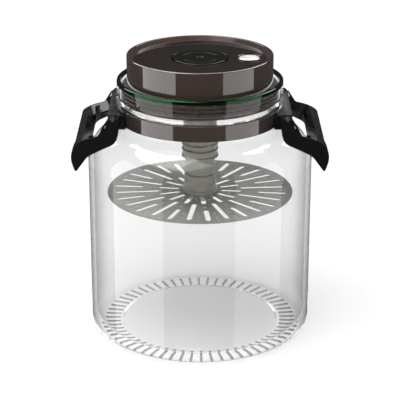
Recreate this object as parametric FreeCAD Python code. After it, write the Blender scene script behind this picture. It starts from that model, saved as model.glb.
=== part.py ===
import FreeCAD, Part
import math
import os

# Glass pickle keeper: jar with a smoky plug-in lid, two swinging side handles and
# a perforated strainer on a telescopic stem that hangs from a flush lift knob.
# Frame: origin at the centre of the base, +Z up, the front is -Y, the handles are at +X and -X.
# Every length is in millimetres.

# Glass jar
JAR_R = 75.0                 # outer radius of the straight wall
JAR_WALL = 3.3               # thickness of the glass
SHOULDER_Z = 120.0           # where the straight wall turns into the shoulder
SHOULDER_R = 24.0            # radius of the shoulder's arc
NECK_R = 51.0                # outer radius of the neck, which the band grips
NECK_IN_R = 47.7             # inner radius of the neck
MOUTH_R = 55.1               # outer radius of the mouth ring and the bead
MOUTH_IN_R = 52.2            # inner radius of the mouth ring
BEAD_Z = 158.8               # underside of the bead
LEDGE_Z = 161.5              # ledge inside the mouth, on which the lid sits
RIM_Z = 175.0                # top of the glass
FLOOR_Z = 5.2                # inside of the base
GROOVES = 60                 # radial grooves in the ring that the jar stands on
GROOVE_R = (55.5, 66.5)      # from and to this radius
GROOVE_W = 1.2
GROOVE_D = 0.7

# Band round the neck and the brackets on it
BAND_R = 54.3
BAND_Z = (147.9, 158.4)
BAND_GAP = 0.05              # slack between band and glass
BAND_SPLIT = 0.1             # half the gap between the ends of the band's two halves
PAD_R = 55.9                 # outer radius of a bracket's curved pad
BRACKET_HALF = 26.0          # half length of a bracket, along Y
BRACKET_X = 60.0             # outer face of a bracket
BRACKET_Z = (147.4, 157.2)
PAD_SHORTER = 2.4            # a pad ends this much before its block, along Y
SCREW_Y = 14.0
SCREW_Z = 151.6
SCREW_HEAD_R = 2.6
SCREW_SUNK = 0.2             # depth of a screw's head below the bracket's face

# Swinging side handles, given for the right side
PIVOT_X = 56.6
PIVOT_Z = 152.5
PIN_R = 1.8
PIN_Y = (17.0, 37.8)         # a pin runs from here, deep in the bracket, to here in the arm
PIN_FIT = 0.06               # radial slack of a handle on its pins
BOSS_R = 4.3
HANDLE_HALF = 39.0           # half width of a handle, along Y
ARM_W = 6.0                  # width of an arm, along Y
ARM_TOP_W = 0.8              # width of an arm's top edge, above the slope on its inner side
SLOPE_H = 5.6                # height of that slope
SLOPE_X = (63.5, 76.0)       # the slope runs from here to here
SLOPE_Z = 148.0              # height of the slope's upper edge at its inner end
SLOPE_TILT = 17.0            # degrees by which an arm falls outwards there
S_INNER = [(52.2, 152.0), (52.9, 147.2), (55.2, 142.3), (60.5, 139.3), (67.0, 136.2),
           (72.4, 133.2), (76.6, 128.0), (79.9, 123.6)]          # x, z along the side to the jar
S_OUTER = [(82.0, 125.6), (83.4, 130.6), (83.2, 135.6), (80.8, 140.6), (77.0, 143.3),
           (72.0, 145.3), (66.5, 146.8), (63.2, 148.8), (61.6, 152.0), (59.9, 156.6)]
TIP_AT = (81.2, 123.6)       # the tip's arc passes here
GRIP_SLOPE = ((71.9, 137.0), (76.4, 144.6), (71.9, 152.0))   # x, z of the cut along the grip's inside
ROOT_TOP = (52.2, 57.2, 160.0)   # inner and outer x and the height of the front arm's upper end
REAR_ROOT_Z = 154.5          # the rear arm ends here, below the top of its boss
GRIP_X = 72.0                # inner edge of the grip bar
GRIP_OUT_X = 81.3            # outer face of the grip bar
HORN_W = 10.0                # width of the horn at the front end of the grip, along Y
WINDOW_ROUND = 4.0
HORN_ROUND = 2.5
BEHIND_X, BEYOND_X = 40.0, 95.0      # reach of the cuts for window and recess
BELOW_Z, ABOVE_Z = 100.0, 170.0

# Lid
LID_R = 48.4
LID_IN_R = 45.6
RIM_TOP_R = (46.8, 47.4)     # flat top of the lid's rim, between these radii
LID_TOP_Z = 191.5
PANEL_Z = 188.5              # top surface of the lid's panel
PANEL_T = 2.2
PANEL_R = 43.9               # where the rim's slope meets the panel
BASE_Z = (162.3, 164.3)      # bottom plate of the lid
FLANGE_R = 50.6
WELL_R = 18.9                # well round the knob
WELL_Z = 184.6
WELL_T = 1.6
SLEEVE_R = 51.9
SLEEVE_Z = (163.55, 171.7)
LIP_Z = (165.1, 167.6, 170.4)    # heights of the sleeve's three lips
SEAT_R = (48.2, 51.5)        # flat gasket between the lid's flange and the ledge
BREATHER_R = 2.0
GUIDE_R = 11.2
GUIDE_FLANGE_R = 15.5
RIDGE_R = 12.3
RIDGE_PITCH = 3.9
GUIDE_Z = 120.6              # lower end of the guide tube
ROD_SEAL_R = 7.0
ROD_SEAL_T = 1.8

# Vent button
VENT_X = 32.4
BUTTON_R = 7.0
BUTTON_Z = (186.3, 189.0)
BUTTON_SLACK = 0.35
BEZEL_R = 8.9
BEZEL_Z = 187.5              # underside of the bezel, set into the panel
CUP_Z = (175.5, 177.1)       # floor of the cup under the button
CUP_T = 2.6                  # wall of that cup
CUP_HOLE_R = 2.6
VENT_STEM_R = 2.2
VENT_SEAL_R = 5.8
VENT_SEAL_Z = (173.9, 175.45)
VENT_FOOT_R = 3.6
VENT_FOOT_Z = 172.6

# Lift knob and telescopic stem
KNOB_R = 18.2
KNOB_Z = (185.0, 189.1)
INLAY_R = 11.8
INLAY_T = 1.7                # depth of the inlay's seat
ROD_R = 4.0
TUBE_FIT = 0.08              # radial slack between tubes that slide in each other
TUBE_T = 0.9                 # wall of each tube
OUTER_R = 10.0
MIDDLE_R = OUTER_R - TUBE_T - TUBE_FIT
INNER_R = MIDDLE_R - TUBE_T - TUBE_FIT
OUTER_Z = (109.4, 164.0)
PLUG_T = 3.5                 # depth of the plug in the outer tube's upper end
MIDDLE_Z = (110.0, 159.5)
INNER_Z = (92.5, 159.0)

# Strainer
DISC_R = 62.8
DISC_Z = (95.8, 96.4)
RAYS = 28
FIRST_RAY = -84.5            # direction of the first ray, in degrees from +X
SLOT_W = 3.3
DOT_R = 1.05
HUB_FLANGE_R = 12.4
HUB_R = 10.6
HUB_TOP_Z = 109.0

V = FreeCAD.Vector
UP = V(0, 0, 1)


def turned(outline, centre_x=0.0):
    """Solid of revolution about a vertical axis. A step of four numbers is an arc: through, end."""
    edges = []
    here = V(outline[0][0], 0, outline[0][1])
    for step in outline[1:] + [outline[0]]:
        end = V(step[-2], 0, step[-1])
        if len(step) == 4:
            edges.append(Part.Arc(here, V(step[0], 0, step[1]), end).toShape())
        else:
            edges.append(Part.makeLine(here, end))
        here = end
    solid = Part.Face(Part.Wire(edges)).revolve(V(0, 0, 0), UP, 360)
    if solid.Volume < 0:
        solid.reverse()
    solid.translate(V(centre_x, 0, 0))
    return solid


def on_arc(centre_r, centre_z, radius, degrees):
    """Point of a circle in the outline's plane."""
    a = math.radians(degrees)
    return centre_r + radius * math.cos(a), centre_z + radius * math.sin(a)


def tube(r_in, r_out, z_low, z_high, centre_x=0.0):
    """Plain ring or tube with a vertical axis."""
    outer = Part.makeCylinder(r_out, z_high - z_low, V(centre_x, 0, z_low))
    return outer.cut(bore(r_in, z_low, z_high, centre_x))


def bore(radius, z_low, z_high, centre_x=0.0):
    """Cylinder that cuts right through the given heights."""
    return Part.makeCylinder(radius, z_high - z_low + 2, V(centre_x, 0, z_low - 1))


def block(x0, x1, y0, y1, z0, z1):
    """Box between two corners."""
    return Part.makeBox(x1 - x0, y1 - y0, z1 - z0, V(x0, y0, z0))


def turn(shape, degrees):
    """Copy turned about the jar's axis."""
    copy = shape.copy()
    copy.rotate(V(0, 0, 0), UP, degrees)
    return copy


def mirrored(shape):
    """The same piece for the left side."""
    return shape.mirror(V(0, 0, 0), V(1, 0, 0))


def save(name, shape):
    """Check one piece and write its file."""
    if not shape.isValid() or shape.Volume <= 0:
        raise SystemExit(name + " isn't a sound solid")
    shape.exportStep("parts/" + name + ".step")
    box = shape.BoundBox
    low = (round(box.XMin, 1), round(box.YMin, 1), round(box.ZMin, 1))
    high = (round(box.XMax, 1), round(box.YMax, 1), round(box.ZMax, 1))
    print(name, len(shape.Solids), "solid", round(shape.Volume / 1000, 2), "cm3", low, high)


def glass_jar():
    """Jar with a round heel, a quarter-round shoulder, a neck with a bead and a wide mouth ring."""
    shoulder_r = JAR_R - SHOULDER_R
    inner_r = JAR_R - JAR_WALL
    inner_arc = SHOULDER_R - JAR_WALL
    neck_foot = SHOULDER_Z + SHOULDER_R
    solid = turned([
        (0, 1.8),
        (51.5, 1.8),
        (54.0, 0),
        (67.5, 0),
        (71.4, 1.4, 73.2, 5.2),
        (74.5, 12, JAR_R, 20),
        (JAR_R, SHOULDER_Z),
        on_arc(shoulder_r, SHOULDER_Z, SHOULDER_R, 45) + on_arc(shoulder_r, SHOULDER_Z, SHOULDER_R, 84),
        (NECK_R + 0.6, neck_foot + 0.4, NECK_R, neck_foot + 2.2),
        (NECK_R, BEAD_Z),
        (MOUTH_R - 1.0, BEAD_Z),
        (MOUTH_R + 0.1, BEAD_Z + 1.2, MOUTH_R - 0.7, BEAD_Z + 2.4),
        (MOUTH_R + 0.1, BEAD_Z + 3.4, MOUTH_R - 0.5, BEAD_Z + 4.6),
        (MOUTH_R, BEAD_Z + 5.2),
        (MOUTH_R, RIM_Z - 0.9),
        (MOUTH_R - 0.3, RIM_Z - 0.3, MOUTH_R - 0.9, RIM_Z),
        (MOUTH_IN_R + 0.6, RIM_Z),
        (MOUTH_IN_R, RIM_Z - 0.6),
        (MOUTH_IN_R, LEDGE_Z),
        (NECK_IN_R, LEDGE_Z),
        (NECK_IN_R, neck_foot + 0.6),
        (NECK_IN_R + 0.9, neck_foot - 2.0) + on_arc(shoulder_r, SHOULDER_Z, inner_arc, 86),
        on_arc(shoulder_r, SHOULDER_Z, inner_arc, 45) + (inner_r, SHOULDER_Z),
        (inner_r, 17),
        (69.5, 8.2, 62.0, FLOOR_Z),
        (0, FLOOR_Z + 0.6),
    ])
    start, end = GROOVE_R
    groove = block(start, end, -GROOVE_W / 2, GROOVE_W / 2, -1, GROOVE_D)
    grooves = [turn(groove, i * 360 / GROOVES) for i in range(GROOVES)]
    return solid.cut(Part.makeCompound(grooves))


def bracket_screw(side_y):
    """Countersunk screw that runs inwards along X through bracket and band."""
    shank_r, head_h = 1.2, 1.6
    tip_x = NECK_R + 0.6
    end_x = BRACKET_X - SCREW_SUNK
    shank = Part.makeCylinder(shank_r, end_x - tip_x, V(tip_x, side_y, SCREW_Z), V(1, 0, 0))
    head = Part.makeCone(shank_r, SCREW_HEAD_R, head_h, V(end_x - head_h, side_y, SCREW_Z), V(1, 0, 0))
    return shank.fuse(head)


def bracket(screws, pins):
    """Curved pad on the band with the block that holds the pivot pins."""
    low, high = BRACKET_Z
    pad_half = BRACKET_HALF - PAD_SHORTER
    pad = tube(BAND_R, PAD_R, low - 0.6, BAND_Z[1] - 0.2)
    pad = pad.common(block(NECK_IN_R, PIVOT_X, -pad_half, pad_half, low - 1, BAND_Z[1]))
    body = block(NECK_IN_R, BRACKET_X, -BRACKET_HALF, BRACKET_HALF, low, high)
    body = body.makeFillet(1.6, [
        e for e in body.Edges
        if abs(e.CenterOfMass.x - BRACKET_X) < 0.01 and abs(e.CenterOfMass.z - high) < 0.01
    ])
    body = body.cut(bore(BAND_R, low, high))
    seats = [Part.makeCylinder(SCREW_HEAD_R, 1, V(BRACKET_X - SCREW_SUNK, y, SCREW_Z), V(1, 0, 0))
             for y in (-SCREW_Y, SCREW_Y)]
    return pad.fuse(body).removeSplitter().cut(Part.makeCompound(screws + pins + seats))


def band_half(front, screws):
    """Half of the band: a plain ring with a small roll at each edge, cut at the sides."""
    low, high = BAND_Z
    ring = turned([
        (NECK_R + BAND_GAP, low),
        (BAND_R - 0.5, low),
        (BAND_R - 0.15, low + 0.15, BAND_R, low + 0.5),
        (BAND_R, high - 0.5),
        (BAND_R - 0.15, high - 0.15, BAND_R - 0.5, high),
        (NECK_R + BAND_GAP, high),
    ])
    reach = BAND_R + 1
    y_range = (-reach, -BAND_SPLIT) if front else (BAND_SPLIT, reach)
    half = ring.common(block(-reach, reach, y_range[0], y_range[1], low - 1, high + 1))
    return half.cut(Part.makeCompound(screws))


def pivot_pin(side):
    """Short pin along Y, fixed in the bracket's end, on which one arm turns."""
    inner, outer = PIN_Y
    return Part.makeCylinder(PIN_R, outer - inner, V(PIVOT_X, side * inner, PIVOT_Z), V(0, side, 0))


def arm_slope(side):
    """Wedge that slopes the inner side of an arm down towards the window, to be cut away."""
    arm_in = HANDLE_HALF - ARM_W - 0.1
    edge = HANDLE_HALF - ARM_TOP_W
    corners = [(edge, 0), (arm_in, -SLOPE_H), (arm_in, SLOPE_H), (edge, SLOPE_H)]
    points = [V(0, side * y, z) for y, z in corners]
    wedge = Part.Face(Part.makePolygon(points + points[:1])).extrude(V(SLOPE_X[1] - SLOPE_X[0], 0, 0))
    if wedge.Volume < 0:
        wedge.reverse()
    wedge.rotate(V(0, 0, 0), V(0, 1, 0), SLOPE_TILT)
    wedge.translate(V(SLOPE_X[0], 0, SLOPE_Z))
    return wedge


def smooth(points):
    """Smooth edge through points of the plane of X and Z."""
    curve = Part.BSplineCurve()
    curve.interpolate([V(x, 0, z) for x, z in points])
    return curve.toShape()


def upright_edges(box, x, y_below):
    """Vertical edges of a box at the given x whose y is below a limit."""
    return [
        e for e in box.Edges
        if abs(e.CenterOfMass.x - x) < 0.01 and abs(e.CenterOfMass.z - (BELOW_Z + ABOVE_Z) / 2) < 1
        and e.CenterOfMass.y < y_below
    ]


def handle():
    """U-shaped handle: the S of its arms is one outline, drawn out along Y and opened by a window."""
    tip_start, tip_end, root_start = S_INNER[-1], S_OUTER[0], S_OUTER[-1]
    tip = Part.Arc(V(tip_start[0], 0, tip_start[1]), V(TIP_AT[0], 0, TIP_AT[1]),
                   V(tip_end[0], 0, tip_end[1])).toShape()
    root_in, root_out, root_z = ROOT_TOP
    root = Part.makePolygon([V(root_start[0], 0, root_start[1]), V(root_out, 0, root_z),
                             V(root_in, 0, root_z), V(S_INNER[0][0], 0, S_INNER[0][1])])
    outline = Part.Face(Part.Wire([smooth(S_INNER), tip, smooth(S_OUTER)] + root.Edges))
    outline.translate(V(0, -HANDLE_HALF, 0))
    body = outline.extrude(V(0, 2 * HANDLE_HALF, 0))
    if body.Volume < 0:
        body.reverse()
    arm_in = HANDLE_HALF - ARM_W
    window = block(BEHIND_X, GRIP_X, -arm_in, arm_in, BELOW_Z, ABOVE_Z)
    window = window.makeFillet(WINDOW_ROUND, upright_edges(window, GRIP_X, HANDLE_HALF))
    recess = block(GRIP_OUT_X, BEYOND_X, HORN_W - HANDLE_HALF, HANDLE_HALF + 1, BELOW_Z, ABOVE_Z)
    recess = recess.makeFillet(HORN_ROUND, upright_edges(recess, GRIP_OUT_X, 0))
    slope = Part.Face(Part.makePolygon([V(x, -arm_in, z) for x, z in GRIP_SLOPE + GRIP_SLOPE[:1]]))
    slope = slope.extrude(V(0, 2 * arm_in, 0))
    rear_root = block(BEHIND_X, GRIP_X, 0, HANDLE_HALF + 1, REAR_ROOT_Z, ABOVE_Z)
    body = body.cut(window).cut(recess).cut(slope).cut(rear_root)
    boss_y = BRACKET_HALF + 0.6
    for side in (-1, 1):
        along = V(0, side, 0)
        boss = Part.makeCylinder(BOSS_R, HANDLE_HALF - boss_y, V(PIVOT_X, side * boss_y, PIVOT_Z), along)
        hole = Part.makeCylinder(PIN_R + PIN_FIT, PIN_Y[1] + 0.2 - BRACKET_HALF,
                                 V(PIVOT_X, side * BRACKET_HALF, PIVOT_Z), along)
        body = body.fuse(boss).cut(hole).cut(arm_slope(side))
    return body.removeSplitter()


def lid_cup():
    """Lid: round wall with a sloped rim, a shallow panel with the knob's well and the vent's hole."""
    under = PANEL_Z - PANEL_T
    well_under = WELL_Z - WELL_T
    shell = turned([
        (ROD_R + TUBE_FIT, WELL_Z),
        (WELL_R, WELL_Z),
        (WELL_R, PANEL_Z - 0.3),
        (WELL_R + 0.3, PANEL_Z),
        (PANEL_R, PANEL_Z),
        (RIM_TOP_R[0] - 0.6, LID_TOP_Z - 0.2),
        (RIM_TOP_R[0] - 0.3, LID_TOP_Z - 0.05, RIM_TOP_R[0], LID_TOP_Z),
        (RIM_TOP_R[1], LID_TOP_Z),
        (LID_R - 0.3, LID_TOP_Z - 0.3, LID_R, LID_TOP_Z - 1.0),
        (LID_R, BASE_Z[1]),
        (LID_IN_R, BASE_Z[1]),
        (LID_IN_R, under),
        (WELL_R + WELL_T, under),
        (WELL_R + WELL_T, well_under),
        (ROD_R + TUBE_FIT, well_under),
    ])
    hole = bore(BUTTON_R + BUTTON_SLACK, under, PANEL_Z, VENT_X)
    seat = Part.makeCylinder(BEZEL_R, LID_TOP_Z - BEZEL_Z, V(VENT_X, 0, BEZEL_Z))
    return shell.cut(hole.fuse(seat))


def lid_base():
    """Bottom plate with a flange over the ledge, a hole for the guide and a ring of breather holes."""
    low, high = BASE_Z
    plate = turned([
        (GUIDE_R, low),
        (FLANGE_R, low),
        (FLANGE_R, high - 0.8),
        (LID_R, high - 0.8),
        (LID_R, high),
        (GUIDE_R, high),
    ])
    hole = bore(BREATHER_R, low, high, VENT_X)
    return plate.cut(Part.makeCompound([turn(hole, i * 60) for i in range(6)]))


def sleeve_gasket():
    """Soft sleeve round the lid's foot with three lips that press on the glass mouth."""
    low, high = SLEEVE_Z
    root = SLEEVE_R - 1.1
    outline = [(LID_R, low), (root, low)]
    for z in LIP_Z:
        outline.append((root, z - 0.7))
        outline.append((SLEEVE_R - 0.1, z - 0.6, SLEEVE_R, z))
        outline.append((SLEEVE_R - 0.1, z + 0.6, root, z + 0.7))
    outline += [(root, high), (LID_R, high)]
    return turned(outline)


def guide_bush():
    """Guide tube with a flange under the lid and three ridges at its lower end."""
    inside = OUTER_R + TUBE_FIT
    low, high = BASE_Z
    outline = [(inside, GUIDE_Z), (GUIDE_R, GUIDE_Z)]
    for i in range(3):
        z = GUIDE_Z + 0.3 + RIDGE_PITCH * i
        outline += [(GUIDE_R, z), (RIDGE_R, z + 0.3), (RIDGE_R, z + 1.1), (GUIDE_R, z + 1.4)]
    outline += [(GUIDE_R, low - 4.0), (GUIDE_FLANGE_R, low - 1.9), (GUIDE_FLANGE_R, low)]
    outline += [(GUIDE_R, low), (GUIDE_R, high), (inside, high)]
    return turned(outline)


def vent_housing():
    """Cup under the panel that guides the button and carries the valve's seat."""
    under = PANEL_Z - PANEL_T
    inside = BUTTON_R + BUTTON_SLACK
    low, floor = CUP_Z
    return turned([
        (CUP_HOLE_R, low), (inside + CUP_T, low), (inside + CUP_T, under),
        (inside, under), (inside, floor), (CUP_HOLE_R, floor),
    ], VENT_X)


def vent_bezel():
    """Dark ring round the button, set into the panel."""
    inside = BUTTON_R + BUTTON_SLACK
    return turned([
        (inside, BEZEL_Z), (BEZEL_R, BEZEL_Z), (BEZEL_R, PANEL_Z + 0.3),
        (inside + 1.0, PANEL_Z + 0.7), (inside, PANEL_Z + 0.2),
    ], VENT_X)


def vent_spring():
    """Light compression spring of four turns under the button, of eight-sided wire."""
    wire_r, coil_r, height, pitch, sides = 0.42, 4.6, 8.1, 2.0, 8
    low = CUP_Z[1] + 0.55
    tilt = math.atan2(pitch, 2 * math.pi * coil_r)
    corners = []
    for i in range(sides):
        out, up = on_arc(0, 0, wire_r, (i + 0.5) * 360 / sides)
        corners.append(V(coil_r + out, -up * math.sin(tilt), up * math.cos(tilt)))
    section = Part.makePolygon(corners + corners[:1])
    coil = Part.Wire(Part.makeHelix(pitch, height, coil_r).Edges).makePipeShell([section], True, True)
    coil.translate(V(VENT_X, 0, low))
    return coil


def button_cap():
    """Round button with a slight crown."""
    low, top = BUTTON_Z
    return turned([
        (0, low), (BUTTON_R, low), (BUTTON_R, top - 0.8),
        (BUTTON_R - 0.2, top - 0.3, BUTTON_R - 0.8, top - 0.1),
        (BUTTON_R - 2.8, top),
        (0, top),
    ], VENT_X)


def vent_stem():
    """Stem under the button with a foot that holds the seal."""
    return turned([
        (0, VENT_FOOT_Z), (VENT_FOOT_R, VENT_FOOT_Z), (VENT_FOOT_R, VENT_SEAL_Z[0]),
        (VENT_STEM_R, VENT_SEAL_Z[0]), (VENT_STEM_R, BUTTON_Z[0]), (0, BUTTON_Z[0]),
    ], VENT_X)


def knob_cap():
    """Flush disc with a shallow seat for its inlay and a hole for the rod."""
    low, top = KNOB_Z
    seat_z = top - INLAY_T
    seat_r = INLAY_R + 0.1
    return turned([
        (ROD_R, low), (KNOB_R - 0.6, low), (KNOB_R, low + 0.6), (KNOB_R, top - 0.7),
        (KNOB_R - 0.2, top - 0.2, KNOB_R - 0.8, top),
        (seat_r + 0.4, top), (seat_r, top - 0.3), (seat_r, seat_z), (ROD_R, seat_z),
    ])


def knob_inlay():
    """Centre disc of the knob, a touch lower than its edge, with a small round dimple."""
    seat_z = KNOB_Z[1] - INLAY_T
    top = KNOB_Z[1] - 0.15
    return turned([
        (0, seat_z), (INLAY_R, seat_z), (INLAY_R, top - 0.3),
        (INLAY_R - 0.3, top), (2.6, top), (2.2, top - 0.35), (0, top - 0.35),
    ])


def lift_rod():
    """Rod from the knob's seat down into the plug of the outer tube."""
    low = OUTER_Z[1] - PLUG_T
    return Part.makeCylinder(ROD_R, KNOB_Z[1] - INLAY_T - low, V(0, 0, low))


def stem_cap():
    """Plug that joins the rod to the outer tube."""
    inside = OUTER_R - TUBE_T
    top = OUTER_Z[1]
    return turned([
        (ROD_R, top - PLUG_T), (inside, top - PLUG_T), (inside, top),
        (OUTER_R, top), (OUTER_R, top + 1.2), (ROD_R, top + 1.2),
    ])


def strainer_sleeve():
    """Sleeve and flange that clamp the disc from above."""
    low = DISC_Z[1]
    return turned([
        (INNER_R, low), (HUB_FLANGE_R, low), (HUB_FLANGE_R, low + 1.6), (HUB_R + 0.4, low + 2.2),
        (HUB_R, low + 3.0), (HUB_R, HUB_TOP_Z - 0.6), (HUB_R - 0.6, HUB_TOP_Z), (INNER_R, HUB_TOP_Z),
    ])


def strainer_nut():
    """Round nut under the disc, closed at its lower end."""
    low, high = INNER_Z[0] - 1.5, DISC_Z[0]
    return turned([
        (0, low), (HUB_R - 1.6, low), (HUB_R - 0.4, low + 1.2), (HUB_R - 0.4, high),
        (INNER_R, high), (INNER_R, INNER_Z[0]), (0, INNER_Z[0]),
    ])


def slot(r_start, r_end):
    """Radial slot with round ends, along X."""
    low, high = DISC_Z
    half = SLOT_W / 2
    start, end = r_start + half, r_end - half
    middle = block(start, end, -half, half, low - 1, high + 1)
    return middle.fuse(bore(half, low, high, start)).fuse(bore(half, low, high, end))


def dot(distance):
    """Round hole on the X axis, at a distance from the stem."""
    return bore(DOT_R, DISC_Z[0], DISC_Z[1], distance)


def strainer_disc():
    """Thin round plate: slots and dots on its rays, and three more dots between two rays."""
    low, high = DISC_Z
    plate = turned([
        (INNER_R, low), (DISC_R - 0.2, low), (DISC_R, low + 0.2),
        (DISC_R, high - 0.2), (DISC_R - 0.2, high), (INNER_R, high),
    ])
    short_ray = [slot(14.2, 28.2), dot(34.2), slot(39.2, 58.5)]
    long_ray = [dot(20.6), slot(27.5, 57.0)]
    between = [dot(45.4), dot(52.3), dot(57.8)]
    step = 360 / RAYS
    holes = []
    for i in range(RAYS):
        ray = long_ray if i % 2 else short_ray
        holes += [turn(hole, FIRST_RAY + i * step) for hole in ray]
        holes += [turn(hole, FIRST_RAY + (i + 0.5) * step) for hole in between]
    return plate.cut(Part.makeCompound(holes))


def main():
    """Build every piece and write one file each."""
    os.makedirs("parts", exist_ok=True)
    screws = [bracket_screw(y) for y in (-SCREW_Y, SCREW_Y)]
    pins = [pivot_pin(side) for side in (-1, 1)]
    both_sides = screws + [mirrored(s) for s in screws]
    right_bracket = bracket(screws, pins)
    right_handle = handle()
    well_under = WELL_Z - WELL_T
    pieces = {
        "glass_jar": glass_jar(),
        "collar_front": band_half(True, both_sides),
        "collar_rear": band_half(False, both_sides),
        "right_bracket": right_bracket,
        "left_bracket": mirrored(right_bracket),
        "bracket_screws": Part.makeCompound(both_sides),
        "right_pivot_pins": Part.makeCompound(pins),
        "left_pivot_pins": Part.makeCompound([mirrored(p) for p in pins]),
        "right_handle": right_handle,
        "left_handle": mirrored(right_handle),
        "lid_cup": lid_cup(),
        "lid_base": lid_base(),
        "sleeve_gasket": sleeve_gasket(),
        "seat_gasket": tube(SEAT_R[0], SEAT_R[1], LEDGE_Z, BASE_Z[0]),
        "guide_bush": guide_bush(),
        "rod_seal": tube(ROD_R + TUBE_FIT, ROD_SEAL_R, well_under - ROD_SEAL_T, well_under),
        "vent_bezel": vent_bezel(),
        "vent_housing": vent_housing(),
        "vent_spring": vent_spring(),
        "button_cap": button_cap(),
        "vent_stem": vent_stem(),
        "vent_seal": tube(VENT_STEM_R, VENT_SEAL_R, VENT_SEAL_Z[0], VENT_SEAL_Z[1], VENT_X),
        "knob_cap": knob_cap(),
        "knob_inlay": knob_inlay(),
        "lift_rod": lift_rod(),
        "stem_cap": stem_cap(),
        "outer_tube": tube(OUTER_R - TUBE_T, OUTER_R, OUTER_Z[0], OUTER_Z[1]),
        "middle_tube": tube(MIDDLE_R - TUBE_T, MIDDLE_R, MIDDLE_Z[0], MIDDLE_Z[1]),
        "inner_tube": tube(INNER_R - TUBE_T, INNER_R, INNER_Z[0], INNER_Z[1]),
        "strainer_sleeve": strainer_sleeve(),
        "strainer_disc": strainer_disc(),
        "strainer_nut": strainer_nut(),
    }
    for name, shape in pieces.items():
        save(name, shape)


main()
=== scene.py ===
# %% [markdown]
# # A glass pickle keeper, built cell by cell
#
# The object is a wide glass jar. A smoky lid plugs into its mouth, and under the lid hangs a
# telescopic stem with a perforated plate that holds the pickles down in their brine. Two black
# handles swing on a band round the neck.
#
# The solids come ready from a CAD model, which this script calls the frame: they are at their real
# size and in their real place. Some keep their shape and only get a finish. Others are made again
# here, with finer roundings, and stand in for their solid.

# %% Load the frame
import math

import bmesh
import bpy
from mathutils import Matrix, Vector


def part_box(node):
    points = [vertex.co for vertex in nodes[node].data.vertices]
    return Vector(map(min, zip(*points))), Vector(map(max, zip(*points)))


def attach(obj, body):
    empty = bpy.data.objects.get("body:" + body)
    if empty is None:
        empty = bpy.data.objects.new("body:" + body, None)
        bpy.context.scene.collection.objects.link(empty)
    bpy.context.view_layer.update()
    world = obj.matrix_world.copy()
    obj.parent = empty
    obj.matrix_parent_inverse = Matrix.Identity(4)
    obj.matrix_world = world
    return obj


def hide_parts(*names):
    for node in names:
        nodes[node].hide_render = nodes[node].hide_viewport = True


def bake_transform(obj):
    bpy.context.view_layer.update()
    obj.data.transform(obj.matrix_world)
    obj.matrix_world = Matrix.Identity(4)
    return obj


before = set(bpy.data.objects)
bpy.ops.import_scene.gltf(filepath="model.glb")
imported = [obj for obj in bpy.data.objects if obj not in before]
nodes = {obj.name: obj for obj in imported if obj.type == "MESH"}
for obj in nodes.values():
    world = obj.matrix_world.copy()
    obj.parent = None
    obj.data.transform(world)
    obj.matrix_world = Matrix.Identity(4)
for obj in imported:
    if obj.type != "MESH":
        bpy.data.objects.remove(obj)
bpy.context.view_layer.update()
print("solids in the frame:", len(nodes))

# %% [markdown]
# ## The camera
#
# The photograph looks down on the jar by about 21 degrees, from nearly one metre away through a long
# lens: the two sides of the jar stay almost parallel, while the lid shows a clear ellipse. With the
# camera first, every later piece can be held against the photograph.

# %% Camera
CAMERA_AT = (0.0, -0.9466, 0.4494)   # metres
CAMERA_TILT = 69.129                 # degrees from straight down
LENS = 133.8                         # mm, on a sensor 36 mm wide

camera_data = bpy.data.cameras.new("camera")
camera_data.lens = LENS
camera_data.sensor_width = 36.0
camera_data.clip_start = 0.01
camera = bpy.data.objects.new("camera", camera_data)
camera.location = CAMERA_AT
camera.rotation_euler = (math.radians(CAMERA_TILT), 0.0, 0.0)
bpy.context.scene.collection.objects.link(camera)
bpy.context.scene.camera = camera
bpy.context.scene.view_settings.view_transform = "Standard"
print("camera height above the table in mm:", round(CAMERA_AT[2] * 1000))

# %% [markdown]
# ## Tools for colours and node trees
#
# Colours are read off a screen as numbers from 0 to 255, but shaders count in light, so each one is
# converted once. A small class then keeps the node code short: it makes a node, sets its sockets and
# links what is given to it.

# %% Colour and node helpers
def light_of(red, green, blue):
    """Screen colour, 0 to 255, as the linear colour that a shader takes."""
    linear = []
    for value in (red, green, blue):
        c = value / 255
        linear.append(c / 12.92 if c <= 0.04045 else ((c + 0.055) / 1.055) ** 2.4)
    return (*linear, 1.0)


class Tree:
    """Makes and links the nodes of one material or world."""

    def __init__(self, owner):
        owner.use_nodes = True
        self.nodes = owner.node_tree.nodes
        self.links = owner.node_tree.links
        self.nodes.clear()

    def add(self, kind, inputs=None, **settings):
        """A node of this kind. inputs maps a socket's name or number to a value or another socket."""
        node = self.nodes.new(kind)
        for name, value in settings.items():
            setattr(node, name, value)
        for name, value in (inputs or {}).items():
            if isinstance(value, bpy.types.NodeSocket):
                self.links.new(value, node.inputs[name])
            else:
                node.inputs[name].default_value = value
        return node


print("white on a screen is", light_of(255, 255, 255)[0], "in light")

# %% [markdown]
# ## One recipe for every moulded surface
#
# Real plastic, rubber and satin metal are never one flat colour. Three things vary: a slow drift of
# the tone over centimetres, fine smudges that change how sharp a reflection is, and a grain so small
# that it only softens the highlight. The recipe takes two tones, a range of roughness and a grain,
# and each finish below only chooses its own numbers.

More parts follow.
